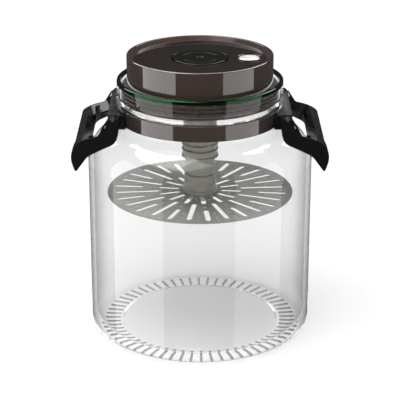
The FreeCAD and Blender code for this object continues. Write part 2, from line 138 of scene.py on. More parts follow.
# %% Surface recipe
def surface(name, tone, second_tone, roughness, grain, grain_scale=900.0, drift_scale=22.0,
            stretch=(1.0, 1.0, 1.0), **sockets):
    """A finish with drifting tone, smudged gloss and fine grain. sockets are constants of the shader."""
    material = bpy.data.materials.new(name)
    tree = Tree(material)
    place = tree.add("ShaderNodeTexCoord").outputs["Object"]
    drift = tree.add("ShaderNodeTexNoise", {"Vector": place, "Scale": drift_scale, "Detail": 3.0})
    smudge = tree.add("ShaderNodeTexNoise", {"Vector": place, "Scale": drift_scale * 6, "Detail": 5.0})
    stretched = tree.add("ShaderNodeMapping", {"Vector": place, "Scale": stretch})
    fine = tree.add("ShaderNodeTexNoise",
                    {"Vector": stretched.outputs["Vector"], "Scale": grain_scale, "Detail": 2.0})
    colour = tree.add("ShaderNodeMix", {"Factor": drift.outputs["Fac"], 6: tone, 7: second_tone},
                      data_type="RGBA")
    gloss = tree.add("ShaderNodeMapRange", {"Value": smudge.outputs["Fac"], "From Min": 0.3,
                                            "From Max": 0.75, "To Min": roughness[0],
                                            "To Max": roughness[1]})
    bump = tree.add("ShaderNodeBump", {"Height": fine.outputs["Fac"], "Strength": grain,
                                       "Distance": 0.0002})
    shader = tree.add("ShaderNodeBsdfPrincipled",
                      {"Base Color": colour.outputs[2], "Roughness": gloss.outputs["Result"],
                       "Normal": bump.outputs["Normal"]})
    for socket, value in sockets.items():
        shader.inputs[socket.replace("_", " ")].default_value = value
    tree.add("ShaderNodeOutputMaterial", {"Surface": shader.outputs["BSDF"]})
    return material


def dress(node_names, material):
    """Gives CAD nodes their finish."""
    for name in node_names:
        mesh = nodes[name].data
        mesh.materials.clear()
        mesh.materials.append(material)


print("the recipe is ready")

# %% [markdown]
# ## The finishes
#
# Ten finishes cover the whole object. The lid and the band are one smoky brown plastic that lets a
# little light through. Two of the ten are copies of that plastic with light and shade painted into
# their colour: a lighter one for the slope inside the lid's rim is painted light, and a darker one for
# the lid's panel is painted shade with patches of painted brown light. The handles, the brackets and
# the knob are glossy black. The plate and the stem are grey plastic with a satin skin, the gasket is
# soft and dark, and the button is silver.

# %% Finishes
SMOKY = surface("smoky_plastic", light_of(58, 49, 45), light_of(78, 65, 60), (0.04, 0.09), 0.02,
                Transmission_Weight=0.15, IOR=1.45, Coat_Weight=1.0, Coat_Roughness=0.03,
                Coat_IOR=1.5)
# A lighter copy of the smoky plastic for the slope inside the lid's rim: painted light.
SLOPE = surface("smoky_slope_painted_light", light_of(70, 57, 52), light_of(84, 68, 62), (0.1, 0.16), 0.03, IOR=1.2)
# A darker copy of the smoky plastic for the lid's panel and well: painted shade, whose drift reaches a
# brown that is painted light.
PANEL = surface("smoky_panel_painted_shade", light_of(22, 20, 18), light_of(56, 47, 43), (0.03, 0.07), 0.03,
                drift_scale=13.0, IOR=1.25)
BLACK = surface("black_plastic", light_of(15, 14, 13), light_of(24, 21, 20), (0.22, 0.28), 0.04,
                IOR=1.45)
TRIM = surface("dark_trim", light_of(18, 18, 15), light_of(28, 27, 24), (0.04, 0.09), 0.05, IOR=1.22)
SILICONE = surface("smoky_silicone", light_of(42, 30, 28), light_of(56, 42, 39), (0.2, 0.34), 0.1,
                   IOR=1.45)
GREY = surface("strainer_grey", light_of(126, 126, 120), light_of(142, 142, 136), (0.3, 0.45), 0.1,
               IOR=1.4)
SATIN = surface("stem_grey", light_of(148, 145, 138), light_of(164, 161, 153), (0.22, 0.36), 0.06,
                stretch=(1.0, 1.0, 0.05))
STEEL = surface("bright_steel", light_of(196, 196, 194), light_of(178, 178, 176), (0.22, 0.4), 0.1,
                stretch=(1.0, 1.0, 0.04), Metallic=1.0)
SILVER = surface("silver_button", light_of(214, 214, 210), light_of(196, 196, 192), (0.28, 0.42), 0.1,
                 Metallic=1.0)

dress(["lid_base"], SMOKY)
dress(["vent_bezel", "vent_housing"], TRIM)
dress(["seat_gasket", "rod_seal", "vent_seal"], SILICONE)
dress(["strainer_disc"], GREY)
dress(["outer_tube", "middle_tube", "inner_tube", "stem_cap", "strainer_sleeve", "strainer_nut",
       "vent_stem"], SATIN)
dress(["bracket_screws", "right_pivot_pins", "left_pivot_pins", "lift_rod"], STEEL)
print("finishes made:", len(bpy.data.materials))

# %% [markdown]
# ## Clear glass and its green edge
#
# A glass wall is clear, but light that runs along the wall and leaves through the rim has crossed
# centimetres of glass, and the rim looks dark green. A wall seen edge-on is darker for the same
# reason. The mesh of the jar therefore gets clear glass outside and inside, a green edge for the rim
# and a frosted finish for the grooves under the base. Blown glass is also a little wavy, which a wide
# soft bump gives.

# %% Glass finishes
def glass(name, tint, edge_tint, wave, **sockets):
    """See-through finish, darker where the wall is seen edge-on, with a slow wave in its surface."""
    material = bpy.data.materials.new(name)
    tree = Tree(material)
    place = tree.add("ShaderNodeTexCoord").outputs["Object"]
    wavy = tree.add("ShaderNodeTexNoise", {"Vector": place, "Scale": 18.0, "Detail": 2.0})
    smudge = tree.add("ShaderNodeTexNoise", {"Vector": place, "Scale": 60.0, "Detail": 4.0})
    film = tree.add("ShaderNodeMapRange", {"Value": smudge.outputs["Fac"], "From Min": 0.4,
                                           "From Max": 0.8, "To Min": 0.0, "To Max": 0.03})
    bump = tree.add("ShaderNodeBump", {"Height": wavy.outputs["Fac"], "Strength": wave,
                                       "Distance": 0.001})
    facing = tree.add("ShaderNodeLayerWeight", {"Blend": 0.5})
    edge = tree.add("ShaderNodeMapRange", {"Value": facing.outputs["Facing"], "From Min": 0.5,
                                           "From Max": 0.95})
    colour = tree.add("ShaderNodeMix", {"Factor": edge.outputs["Result"], 6: tint, 7: edge_tint},
                      data_type="RGBA")
    shader = tree.add("ShaderNodeBsdfPrincipled",
                      {"Base Color": colour.outputs[2], "Roughness": film.outputs["Result"],
                       "Normal": bump.outputs["Normal"]})
    for socket, value in sockets.items():
        shader.inputs[socket.replace("_", " ")].default_value = value
    tree.add("ShaderNodeOutputMaterial", {"Surface": shader.outputs["BSDF"]})
    return material


CLEAR = glass("clear_glass", (0.88, 0.885, 0.882, 1.0), (0.5, 0.51, 0.505, 1.0), 0.004,
              Transmission_Weight=1.0, IOR=1.03, Coat_Weight=1.0, Coat_IOR=1.45, Coat_Roughness=0.0)
INSIDE = glass("inner_glass", (0.88, 0.885, 0.882, 1.0), (0.5, 0.51, 0.505, 1.0), 0.004,
               Transmission_Weight=1.0, IOR=1.03)
FROSTED = glass("frosted_groove", (0.34, 0.34, 0.34, 1.0), (0.2, 0.2, 0.2, 1.0), 0.02,
                Transmission_Weight=0.8, IOR=1.03)
GREEN_EDGE = glass("green_edge", light_of(1, 16, 5), light_of(1, 27, 9), 0.004,
                   Transmission_Weight=0.1, IOR=1.5, Specular_Tint=(0.3, 1.0, 0.4, 1.0))
print("glass finishes made:", CLEAR.name, INSIDE.name, FROSTED.name, GREEN_EDGE.name)

# %% [markdown]
# ## Turning a piece from its outline
#
# Jar, lid, knob, band and tubes are all round, so each is drawn as half of its section and spun about
# an upright axis. Sharp corners never catch the light on a real moulding, so an outline's corner may
# carry a third number, its rounding. A Weighted Normal modifier keeps wide flat faces flat in shading
# beside those small roundings.

# %% Outline and spin helpers
MM = 0.001


def rounded(corners, steps=4):
    """Outline in mm whose corners are (radius, height) or (radius, height, rounding)."""
    points = []
    for i, corner in enumerate(corners):
        here = Vector(corner[:2])
        if len(corner) == 2:
            points.append(here)
            continue
        back = (Vector(corners[i - 1][:2]) - here).normalized()
        ahead = (Vector(corners[(i + 1) % len(corners)][:2]) - here).normalized()
        half = back.angle(ahead) / 2
        centre = here + (back + ahead).normalized() * (corner[2] / math.sin(half))
        reach = corner[2] / math.tan(half)
        first = here + back * reach - centre
        last = here + ahead * reach - centre
        points += [centre + first.slerp(last, k / steps).normalized() * corner[2]
                   for k in range(steps + 1)]
    return points


def arc(centre, radius, start, end, steps):
    """Points in mm along part of a circle, from one angle in degrees to another."""
    points = []
    for k in range(steps + 1):
        a = math.radians(start + (end - start) * k / steps)
        points.append(Vector((centre[0] + radius * math.cos(a), centre[1] + radius * math.sin(a))))
    return points


def to_object(bm, name, material, body, replaced=(), crease=35.0):
    """Turns a bmesh into a smooth piece with its finish, which rides on a body."""
    mesh = bpy.data.meshes.new(name)
    bm.to_mesh(mesh)
    bm.free()
    mesh.polygons.foreach_set("use_smooth", [True] * len(mesh.polygons))
    mesh.set_sharp_from_angle(angle=math.radians(crease))
    mesh.materials.append(material)
    piece = bpy.data.objects.new(name, mesh)
    bpy.context.scene.collection.objects.link(piece)
    weighted = piece.modifiers.new("even_normals", "WEIGHTED_NORMAL")
    weighted.keep_sharp = True
    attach(piece, body)
    if replaced:
        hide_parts(*replaced)
    return piece


def spun_bmesh(outline, steps=160, sweep=360.0, start=0.0, centre_x=0.0):
    """Closed outline in mm spun about an upright axis, as a bmesh in metres."""
    bm = bmesh.new()
    corners = [bm.verts.new((p[0] * MM, 0.0, p[1] * MM)) for p in outline]
    rim = [bm.edges.new((a, b)) for a, b in zip(corners, corners[1:] + corners[:1])]
    bmesh.ops.rotate(bm, verts=corners, cent=(0, 0, 0),
                     matrix=Matrix.Rotation(math.radians(start), 3, "Z"))
    whole = sweep == 360.0
    if not whole:
        bmesh.ops.contextual_create(bm, geom=rim)
    geometry = bm.verts[:] + bm.edges[:] + bm.faces[:]
    bmesh.ops.spin(bm, geom=geometry, cent=(0, 0, 0), axis=(0, 0, 1), angle=math.radians(sweep),
                   steps=steps, use_merge=whole, use_duplicate=False)
    bmesh.ops.remove_doubles(bm, verts=bm.verts, dist=1e-7)
    bmesh.ops.recalc_face_normals(bm, faces=bm.faces)
    bmesh.ops.translate(bm, verts=bm.verts, vec=(centre_x * MM, 0, 0))
    return bm


def spun(name, outline, material, body, replaced=(), **spin):
    """A round piece from its outline."""
    piece = to_object(spun_bmesh(outline, **spin), name, material, body, replaced)
    print(name, "has", len(piece.data.polygons), "faces")
    return piece


def node_size(node):
    """Outer radius, underside and top of a CAD node, in mm."""
    low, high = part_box(node)
    return high.x / MM, low.z / MM, high.z / MM


print("a rounded square has", len(rounded([(0, 0, 1), (5, 0, 1), (5, 5, 1), (0, 5, 1)])), "points")

# %% [markdown]
# ## The glass jar
#
# Inside and outside are one closed outline: a flat ring to stand on, a round heel, straight walls, a
# quarter-round shoulder, a short neck, and a mouth ring with a double bead under it. The inner wall
# follows the outer one at the thickness of the glass, and leaves a ledge in the mouth for the lid.

# %% Jar outline
JAR_R, _, RIM_Z = node_size("glass_jar")
WALL = 3.3
SHOULDER_Z = 120.0
SHOULDER_R = 24.0
NECK_R = 51.0
NECK_IN_R = 47.7
MOUTH_R = 55.1
MOUTH_IN_R = 52.2
BEAD_Z = 158.8
LEDGE_Z = 161.5
FLOOR_Z = 5.2
STRAIGHT_Z = (22.0, 70.0)    # the wall is straight between these heights
NECK_MIDDLE_Z = 150.0
GREEN_FROM_Z = RIM_Z - 2.4

shoulder_centre = (JAR_R - SHOULDER_R, SHOULDER_Z)
neck_foot = SHOULDER_Z + SHOULDER_R
jar_outline = [(0, 1.8), (52.0, 1.8, 1.0), (54.0, 0, 0.8), (55.5, 0), (66.5, 0)]
jar_outline = rounded(jar_outline + [(67.6, 0)])
jar_outline += arc((66.6, 8.4), 8.4, -80, -8, 8)
jar_outline += [Vector((JAR_R - 0.15, 15.0)), Vector((JAR_R, STRAIGHT_Z[0])),
                Vector((JAR_R, STRAIGHT_Z[1]))]
jar_outline += arc(shoulder_centre, SHOULDER_R, 0, 82, 16)
jar_outline += arc((NECK_R + 2.2, neck_foot + 2.6), 2.2, 235, 180, 4)
jar_outline += rounded([
    (NECK_R, NECK_MIDDLE_Z), (NECK_R, BEAD_Z, 0.4), (MOUTH_R - 1.0, BEAD_Z, 0.3),
    (MOUTH_R, BEAD_Z + 0.4), (MOUTH_R + 0.25, BEAD_Z + 1.3, 0.8), (MOUTH_R - 0.9, BEAD_Z + 2.5, 0.35),
    (MOUTH_R + 0.25, BEAD_Z + 3.6, 0.8), (MOUTH_R - 0.6, BEAD_Z + 4.9, 0.4), (MOUTH_R, BEAD_Z + 5.9),
    (MOUTH_R, GREEN_FROM_Z), (MOUTH_R, RIM_Z, 1.0), (MOUTH_IN_R, RIM_Z, 0.8),
    (MOUTH_IN_R, GREEN_FROM_Z), (MOUTH_IN_R, LEDGE_Z, 0.3),
    (NECK_IN_R, LEDGE_Z, 0.5), (NECK_IN_R, NECK_MIDDLE_Z),
])
jar_outline += arc((NECK_IN_R + 3.0, neck_foot + 1.0), 3.0, 180, 232, 5)
jar_outline += arc(shoulder_centre, SHOULDER_R - WALL, 80, 0, 14)
jar_outline += [Vector((JAR_R - WALL, STRAIGHT_Z[1])), Vector((JAR_R - WALL, STRAIGHT_Z[0]))]
jar_outline += arc((62.0, 14.9), 9.7, 0, -90, 8)
jar_outline += [Vector((40.0, FLOOR_Z + 0.2)), Vector((0, FLOOR_Z + 0.6))]
print("points in the jar's outline:", len(jar_outline))

# %% [markdown]
# The underside of the ring that the jar stands on carries sixty short radial grooves, which show
# through the base as a ring of grey ticks. After the spin there are four steps for each groove, so
# every fourth face of that ring is pushed up into the glass, and the faces of the groove are frosted.
# The rim's faces get the green edge, and the faces that look at the axis are the inside.

# %% Jar mesh with its grooves and green rim
GROOVES = 60
GROOVE_DEPTH = 0.7
GROOVE_R = (56.0, 66.0)
RING_R = (55.0, 67.0)        # the flat ring that carries the grooves
TOUCH = 0.01                 # faces below this height lie on the table

jar = spun_bmesh(jar_outline, steps=GROOVES * 4)
ring = [f for f in jar.faces
        if f.calc_center_median().z < TOUCH * MM
        and GROOVE_R[0] < f.calc_center_median().xy.length / MM < GROOVE_R[1]]
ring.sort(key=lambda f: math.atan2(f.calc_center_median().y, f.calc_center_median().x))
grooves = bmesh.ops.extrude_discrete_faces(jar, faces=ring[::4])["faces"]
raised = {v for f in grooves for v in f.verts}
bmesh.ops.translate(jar, verts=list(raised), vec=(0, 0, GROOVE_DEPTH * MM))
for face in jar.faces:
    middle = face.calc_center_median()
    if middle.z > GREEN_FROM_Z * MM:
        face.material_index = 1
    elif (0.1 * MM < middle.z < (GROOVE_DEPTH + 0.1) * MM
          and RING_R[0] * MM < middle.xy.length < RING_R[1] * MM):
        face.material_index = 2
    elif middle.z > (FLOOR_Z - 0.5) * MM and middle.xy.dot(face.normal.xy) < 1e-9:
        face.material_index = 3
jar_piece = to_object(jar, "jar_glass", CLEAR, "jar", ("glass_jar",))
jar_piece.data.materials.append(GREEN_EDGE)
jar_piece.data.materials.append(FROSTED)
jar_piece.data.materials.append(INSIDE)
jar_piece.visible_shadow = False
print("ring faces:", len(ring), "grooves:", len(grooves), "faces in all:", len(jar_piece.data.polygons))

# %% [markdown]
# ## The band round the neck
#
# The band is two half rings of smoky plastic, closed by the brackets at the sides. Each half is spun
# through a little under half a turn, so that a thin joint shows between them.

# %% Band halves
BAND_R, BAND_LOW, BAND_HIGH = 54.3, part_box("collar_front")[0].z / MM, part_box("collar_front")[1].z / MM
JOINT_ANGLE = 0.11

band_outline = rounded([
    (NECK_R + 0.05, BAND_LOW), (BAND_R, BAND_LOW, 0.5), (BAND_R, BAND_HIGH, 0.5),
    (NECK_R + 0.05, BAND_HIGH),
])
for name, node, start in (("band_front", "collar_front", 180.0), ("band_rear", "collar_rear", 0.0)):
    half = spun(name, band_outline, SMOKY, "jar", (node,), steps=96,
                sweep=180.0 - 2 * JOINT_ANGLE, start=start + JOINT_ANGLE)

# %% [markdown]
# ## The lid
#
# Seen from the side the lid is a plain drum, but its top is a shallow dish: a raised rim slopes down
# to a flat panel, and a well in the middle takes the lift knob. One outline gives the drum, the rim
# and the dish. The hole for the vent button lies beside the axis, so it is cut with a Boolean.

# %% Lid shell
LID_R, LID_LOW, LID_TOP = 48.4, *node_size("lid_cup")[1:]
LID_IN_R = 45.6
PANEL_Z = LID_TOP - 3.0
PANEL_R = 43.9               # where the slope inside the rim meets the panel
SLOPE_R = 46.3               # where that slope meets the top of the rim
PANEL_T = 2.2
WELL_R = 18.9
WELL_Z = 184.6
WELL_T = 1.6
ROD_R = 4.08

lid_outline = rounded([
    (ROD_R, WELL_Z), (WELL_R, WELL_Z, 0.5), (WELL_R, PANEL_Z, 0.35), (PANEL_R, PANEL_Z, 0.6),
    (SLOPE_R, LID_TOP, 0.35), (LID_R, LID_TOP, 0.8), (LID_R, LID_LOW), (LID_IN_R, LID_LOW),
    (LID_IN_R, PANEL_Z - PANEL_T, 0.8), (WELL_R + WELL_T, PANEL_Z - PANEL_T, 0.4),
    (WELL_R + WELL_T, WELL_Z - WELL_T, 0.6), (ROD_R, WELL_Z - WELL_T),
])
lid_bm = spun_bmesh(lid_outline, steps=192)
# The panel and the well take the darker copy of the smoky plastic, painted shade with patches of painted
# brown light; the slope inside the rim takes the lighter copy, painted light.
for face in lid_bm.faces:
    middle = face.calc_center_median()
    if middle.xy.length < PANEL_R * MM:
        face.material_index = 1
    elif middle.z > PANEL_Z * MM and middle.xy.length < (SLOPE_R - 0.3) * MM:
        face.material_index = 2
lid_shell = to_object(lid_bm, "lid_shell", SMOKY, "lid", ("lid_cup",))
lid_shell.data.materials.append(PANEL)
lid_shell.data.materials.append(SLOPE)

# %% Hole for the vent in the lid
VENT_X = 32.4
BEZEL_R = 8.9
BUTTON_HOLE_R = 7.35


def round_bar(radius, start, end, segments=64):
    """Round bar in mm from one point to another, as a bmesh."""
    bm = bmesh.new()
    start, end = Vector(start) * MM, Vector(end) * MM
    turn = (end - start).to_track_quat("Z", "Y").to_matrix().to_4x4()
    bmesh.ops.create_cone(bm, cap_ends=True, segments=segments, radius1=radius * MM,
                          radius2=radius * MM, depth=(end - start).length,
                          matrix=Matrix.Translation((start + end) / 2) @ turn)
    return bm


def carve(piece, tool, operation="DIFFERENCE"):
    """Cuts a bmesh out of a piece, or joins it on with UNION, and keeps the result."""
    mesh = bpy.data.meshes.new("tool")
    tool.to_mesh(mesh)
    tool.free()
    holder = bpy.data.objects.new("tool", mesh)
    bpy.context.scene.collection.objects.link(holder)
    boolean = piece.modifiers.new("carve", "BOOLEAN")
    boolean.object = holder
    boolean.operation = operation
    graph = bpy.context.evaluated_depsgraph_get()
    result = bpy.data.meshes.new_from_object(piece.evaluated_get(graph))
    piece.modifiers.remove(boolean)
    piece.data = result
    bpy.data.objects.remove(holder)


carve(lid_shell, round_bar(BEZEL_R, (VENT_X, 0, PANEL_Z - 1.0), (VENT_X, 0, LID_TOP + 2)))
carve(lid_shell, round_bar(BUTTON_HOLE_R, (VENT_X, 0, WELL_Z), (VENT_X, 0, LID_TOP + 2)))
print("faces in the lid after its hole:", len(lid_shell.data.polygons))

# %% [markdown]
# ## Gasket, knob, button and guide
#
# These are small turned pieces. The gasket's three lips are what shows through the clear mouth ring
# as dark and light lines, so they get real roundness rather than a painted stripe.

# %% Gasket sleeve
SLEEVE_R, SLEEVE_LOW, SLEEVE_HIGH = 51.9, 163.55, 171.7
LIP_Z = (165.1, 167.6, 170.4)

sleeve_outline = [(LID_R, SLEEVE_LOW), (SLEEVE_R - 1.1, SLEEVE_LOW, 0.3)]
for z in LIP_Z:
    sleeve_outline += [(SLEEVE_R - 1.1, z - 0.8), (SLEEVE_R, z - 0.6, 0.3), (SLEEVE_R, z + 0.6, 0.3),
                       (SLEEVE_R - 1.1, z + 0.8)]
sleeve_outline += [(SLEEVE_R - 1.1, SLEEVE_HIGH, 0.3), (LID_R, SLEEVE_HIGH)]
sleeve = spun("gasket_sleeve", rounded(sleeve_outline), SILICONE, "lid", ("sleeve_gasket",))

# %% Lift knob
KNOB_R, KNOB_LOW, KNOB_TOP = node_size("knob_cap")
INLAY_R = 11.8
SEAT_Z = KNOB_TOP - 1.7

knob_outline = rounded([
    (4.0, KNOB_LOW), (KNOB_R, KNOB_LOW, 0.5), (KNOB_R, KNOB_TOP, 0.7), (INLAY_R + 0.1, KNOB_TOP, 0.4),
    (INLAY_R + 0.1, SEAT_Z), (4.0, SEAT_Z),
])
knob = spun("knob_disc", knob_outline, TRIM, "lift_knob", ("knob_cap",))

inlay_top = KNOB_TOP - 0.15
inlay_outline = rounded([
    (0, SEAT_Z), (INLAY_R, SEAT_Z), (INLAY_R, inlay_top, 0.3), (2.6, inlay_top, 0.2),
    (2.2, inlay_top - 0.35, 0.1), (0, inlay_top - 0.35),
])
inlay = spun("knob_centre", inlay_outline, TRIM, "lift_knob", ("knob_inlay",))

# %% Vent button
BUTTON_R = 7.0
BUTTON_TOP = node_size("button_cap")[2]
BUTTON_LOW = node_size("button_cap")[1]

button_outline = rounded([
    (0, BUTTON_LOW), (BUTTON_R, BUTTON_LOW), (BUTTON_R, BUTTON_TOP - 0.25, 0.6),
    (BUTTON_R - 2.8, BUTTON_TOP), (0, BUTTON_TOP),
])
button = spun("button_top", button_outline, SILVER, "vent_button", ("button_cap",), steps=96,
              centre_x=VENT_X)

# %% [markdown]
# The button stands on a light spring in a cup. One end of the spring rests on the cup's floor and the
# other goes down with the button. The coil is one small circle spun round the button's axis while it
# climbs, from the cup's floor up to the button.

# %% Vent spring
COIL_R, WIRE_R = 4.6, 0.42
COIL_TURNS, TURN_STEPS = 4, 28
COIL_LOW, COIL_HIGH = 177.65, 185.75

coil = bmesh.new()
stand_up = Matrix.Translation(((VENT_X + COIL_R) * MM, 0, COIL_LOW * MM))
stand_up @= Matrix.Rotation(math.pi / 2, 4, "X")
bmesh.ops.create_circle(coil, cap_ends=True, segments=8, radius=WIRE_R * MM, matrix=stand_up)
coil_steps = COIL_TURNS * TURN_STEPS
bmesh.ops.spin(coil, geom=coil.verts[:] + coil.edges[:] + coil.faces[:], cent=(VENT_X * MM, 0, 0),
               axis=(0, 0, 1), dvec=(0, 0, (COIL_HIGH - COIL_LOW) * MM / coil_steps),
               angle=math.tau * COIL_TURNS, steps=coil_steps, use_merge=False, use_duplicate=False)
bmesh.ops.recalc_face_normals(coil, faces=coil.faces)
print("open edges in the spring:", sum(len(e.link_faces) != 2 for e in coil.edges))
coil_mesh = bpy.data.meshes.new("button_spring")
coil.to_mesh(coil_mesh)
coil.free()
coil_mesh.materials.append(STEEL)
button_spring = bpy.data.objects.new("button_spring", coil_mesh)
bpy.context.scene.collection.objects.link(button_spring)
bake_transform(button_spring)
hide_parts("vent_spring")
spring_heights = [v.co.z / MM for v in coil_mesh.vertices]
print("spring from", round(min(spring_heights), 2), "to", round(max(spring_heights), 2), "mm")

# %% Guide tube under the lid
GUIDE_BORE = 10.08
GUIDE_R = 11.2
RIDGE_R = 12.3
RIDGE_PITCH = 3.9
FLANGE_R = 15.5
GUIDE_LOW, GUIDE_HIGH = node_size("guide_bush")[1:]

guide_outline = [(GUIDE_BORE, GUIDE_LOW), (GUIDE_R, GUIDE_LOW)]
for k in range(3):
    z = GUIDE_LOW + 0.3 + RIDGE_PITCH * k
    guide_outline += [(GUIDE_R, z), (RIDGE_R, z + 0.3, 0.2), (RIDGE_R, z + 1.1, 0.2), (GUIDE_R, z + 1.4)]
guide_outline += [(GUIDE_R, 158.3, 1.0), (FLANGE_R, 160.4, 0.4), (FLANGE_R, 162.3), (GUIDE_R, 162.3),
                  (GUIDE_R, GUIDE_HIGH), (GUIDE_BORE, GUIDE_HIGH)]
guide = spun("guide_tube", rounded(guide_outline), SATIN, "lid", ("guide_bush",), steps=96)

# %% [markdown]
# ## The swinging handles
#
# A handle is one U-shaped moulding. Seen from the front its arm is an S: it leaves the bracket, sweeps
# down and out over the shoulder, and ends in a rounded tip. Seen from above, two arms carry a grip bar
# between them. The S is drawn once and pulled out across the jar, then the window, the recess of the
# grip and the slopes inside the arms are carved away, just as a toolmaker would plan the mould. A
# Bevel modifier rounds every edge that is left.

# %% Handle curves
PIVOT_X, PIVOT_Z = 56.6, 152.5
HANDLE_HALF = 39.0
ARM_W = 6.0
ARM_TOP_W = 0.8
HORN_W = 10.0
GRIP_IN_X = 72.0
GRIP_OUT_X = 81.3
BEHIND_X, BEYOND_X = 40.0, 95.0      # a cut that starts or ends in free space runs to here
BELOW_Z, ABOVE_Z = 110.0, 170.0
BEYOND_Y = HANDLE_HALF + 5.0
WINDOW_ROUND = 4.0                   # rounding of the window's corners
HORN_ROUND = 2.5                     # rounding of the recess outside the grip
REAR_ROOT_Z = 154.5                  # the rear arm's root ends at this height
GRIP_SLOPE = ((71.9, 137.0), (76.4, 144.6), (71.9, 152.0))
SLOPE_H = 5.6                        # height of the slope inside an arm
SLOPE_X = (63.5, 76.0)
SLOPE_Z = 148.0
SLOPE_TILT = 17.0                    # degrees by which an arm falls outwards there
BOSS_R = 4.3
BOSS_Y = (26.6, HANDLE_HALF - 0.05)
EDGE_ROUND = 0.7
INNER_CURVE = [(52.2, 152.0), (52.9, 147.2), (55.2, 142.3), (60.5, 139.3), (67.0, 136.2),
               (72.4, 133.2), (76.6, 128.0), (79.9, 123.6)]
OUTER_CURVE = [(82.0, 125.6), (83.35, 130.6), (83.15, 135.6), (80.8, 140.6), (77.0, 143.3),
               (72.0, 145.3), (66.5, 146.8), (63.2, 148.8), (61.6, 152.0), (59.9, 156.6)]


def smooth_curve(points, steps):
    """Evenly spread points on a smooth curve through the given ones, in mm."""
    curve = bpy.data.curves.new("guide", "CURVE")
    spline = curve.splines.new("BEZIER")
    spline.bezier_points.add(len(points) - 1)
    for knot, (x, z) in zip(spline.bezier_points, points):
        knot.co = (x, 0, z)
        knot.handle_left_type = "AUTO"
        knot.handle_right_type = "AUTO"
    spline.resolution_u = 24
    holder = bpy.data.objects.new("guide", curve)
    bpy.context.scene.collection.objects.link(holder)
    path = [v.co.copy() for v in bpy.data.meshes.new_from_object(holder).vertices]
    bpy.data.objects.remove(holder)
    lengths = [0.0]
    for a, b in zip(path, path[1:]):
        lengths.append(lengths[-1] + (b - a).length)
    even = []
    for k in range(steps + 1):
        wanted = lengths[-1] * k / steps
        i = max(j for j in range(len(path) - 1) if lengths[j] <= wanted + 1e-9)
        share = (wanted - lengths[i]) / max(lengths[i + 1] - lengths[i], 1e-9)
        even.append(path[i].lerp(path[i + 1], share))
    return even


s_outline = smooth_curve(INNER_CURVE, 30)
s_outline += [Vector((80.6, 0, 123.3)), Vector((81.3, 0, 123.8))]
s_outline += smooth_curve(OUTER_CURVE, 34)
s_outline += [Vector((57.2, 0, 160.0)), Vector((52.2, 0, 160.0))]
print("points on the S of the handle:", len(s_outline))


# %% Carving blocks
def bar_along_y(outline, y_low, y_high, side):
    """Outline of (x, 0, z) points in mm, pulled out along Y and put on one side of the jar."""
    bm = bmesh.new()
    ring = [bm.verts.new((side * p.x * MM, y_low * MM, p.z * MM)) for p in outline]
    face = bmesh.ops.contextual_create(bm, geom=ring)["faces"]
    pulled = bmesh.ops.extrude_face_region(bm, geom=face)["geom"]
    moved = [g for g in pulled if isinstance(g, bmesh.types.BMVert)]
    bmesh.ops.translate(bm, verts=moved, vec=(0, (y_high - y_low) * MM, 0))
    bmesh.ops.recalc_face_normals(bm, faces=bm.faces)
    return bm


def block(x_range, y_range, z_range, side, rounding=0.0, round_x=None):
    """Box in mm on one side of the jar. Its upright edges at round_x may be rounded."""
    bm = bmesh.new()
    bmesh.ops.create_cube(bm, size=1.0)
    spans = (x_range, y_range, z_range)
    scale = [(high - low) * MM for low, high in spans]
    middle = [(high + low) / 2 * MM for low, high in spans]
    bmesh.ops.scale(bm, verts=bm.verts, vec=scale)
    bmesh.ops.translate(bm, verts=bm.verts, vec=(side * middle[0], middle[1], middle[2]))
    if rounding:
        edges = [e for e in bm.edges if all(abs(abs(v.co.x) - round_x * MM) < 1e-6 for v in e.verts)
                 and abs(e.verts[0].co.z - e.verts[1].co.z) > MM]
        bmesh.ops.bevel(bm, geom=edges, offset=rounding * MM, affect="EDGES", segments=6, profile=0.5,
                        material=-1)
    return bm


def grip_slope(side):
    """Wedge along the grip's inside, wide at the top."""
    corners = [Vector((x, 0, z)) for x, z in GRIP_SLOPE]
    return bar_along_y(corners, ARM_W - HANDLE_HALF, HANDLE_HALF - ARM_W, side)


def arm_slope(x_range, end, side):
    """Wedge that slopes an arm's inner side down towards the window. end is -1 front, +1 rear."""
    arm_in, edge = HANDLE_HALF - ARM_W - 0.1, HANDLE_HALF - ARM_TOP_W
    bm = bmesh.new()
    corners = [(edge, 0), (arm_in, -SLOPE_H), (arm_in, SLOPE_H), (edge, SLOPE_H)]
    ring = [bm.verts.new((0, end * y * MM, z * MM)) for y, z in corners]
    face = bmesh.ops.contextual_create(bm, geom=ring)["faces"]
    pulled = bmesh.ops.extrude_face_region(bm, geom=face)["geom"]
    moved = [g for g in pulled if isinstance(g, bmesh.types.BMVert)]
    bmesh.ops.translate(bm, verts=moved, vec=(side * (x_range[1] - x_range[0]) * MM, 0, 0))
    tilt = Matrix.Rotation(math.radians(SLOPE_TILT * side), 3, "Y")
    bmesh.ops.rotate(bm, verts=bm.verts, cent=(0, 0, 0), matrix=tilt)
    bmesh.ops.translate(bm, verts=bm.verts, vec=(side * x_range[0] * MM, 0, SLOPE_Z * MM))
    bmesh.ops.recalc_face_normals(bm, faces=bm.faces)
    return bm


def soften(piece, least_angle):
    """Rounds every edge that turns by more than an angle in degrees."""
    bevel = piece.modifiers.new("soft_edges", "BEVEL")
    bevel.width = EDGE_ROUND * MM
    bevel.segments = 3
    bevel.limit_method = "ANGLE"
    bevel.angle_limit = math.radians(least_angle)
    bevel.harden_normals = True


print("a block has", len(block((0, 1), (0, 1), (0, 1), 1).faces), "faces")


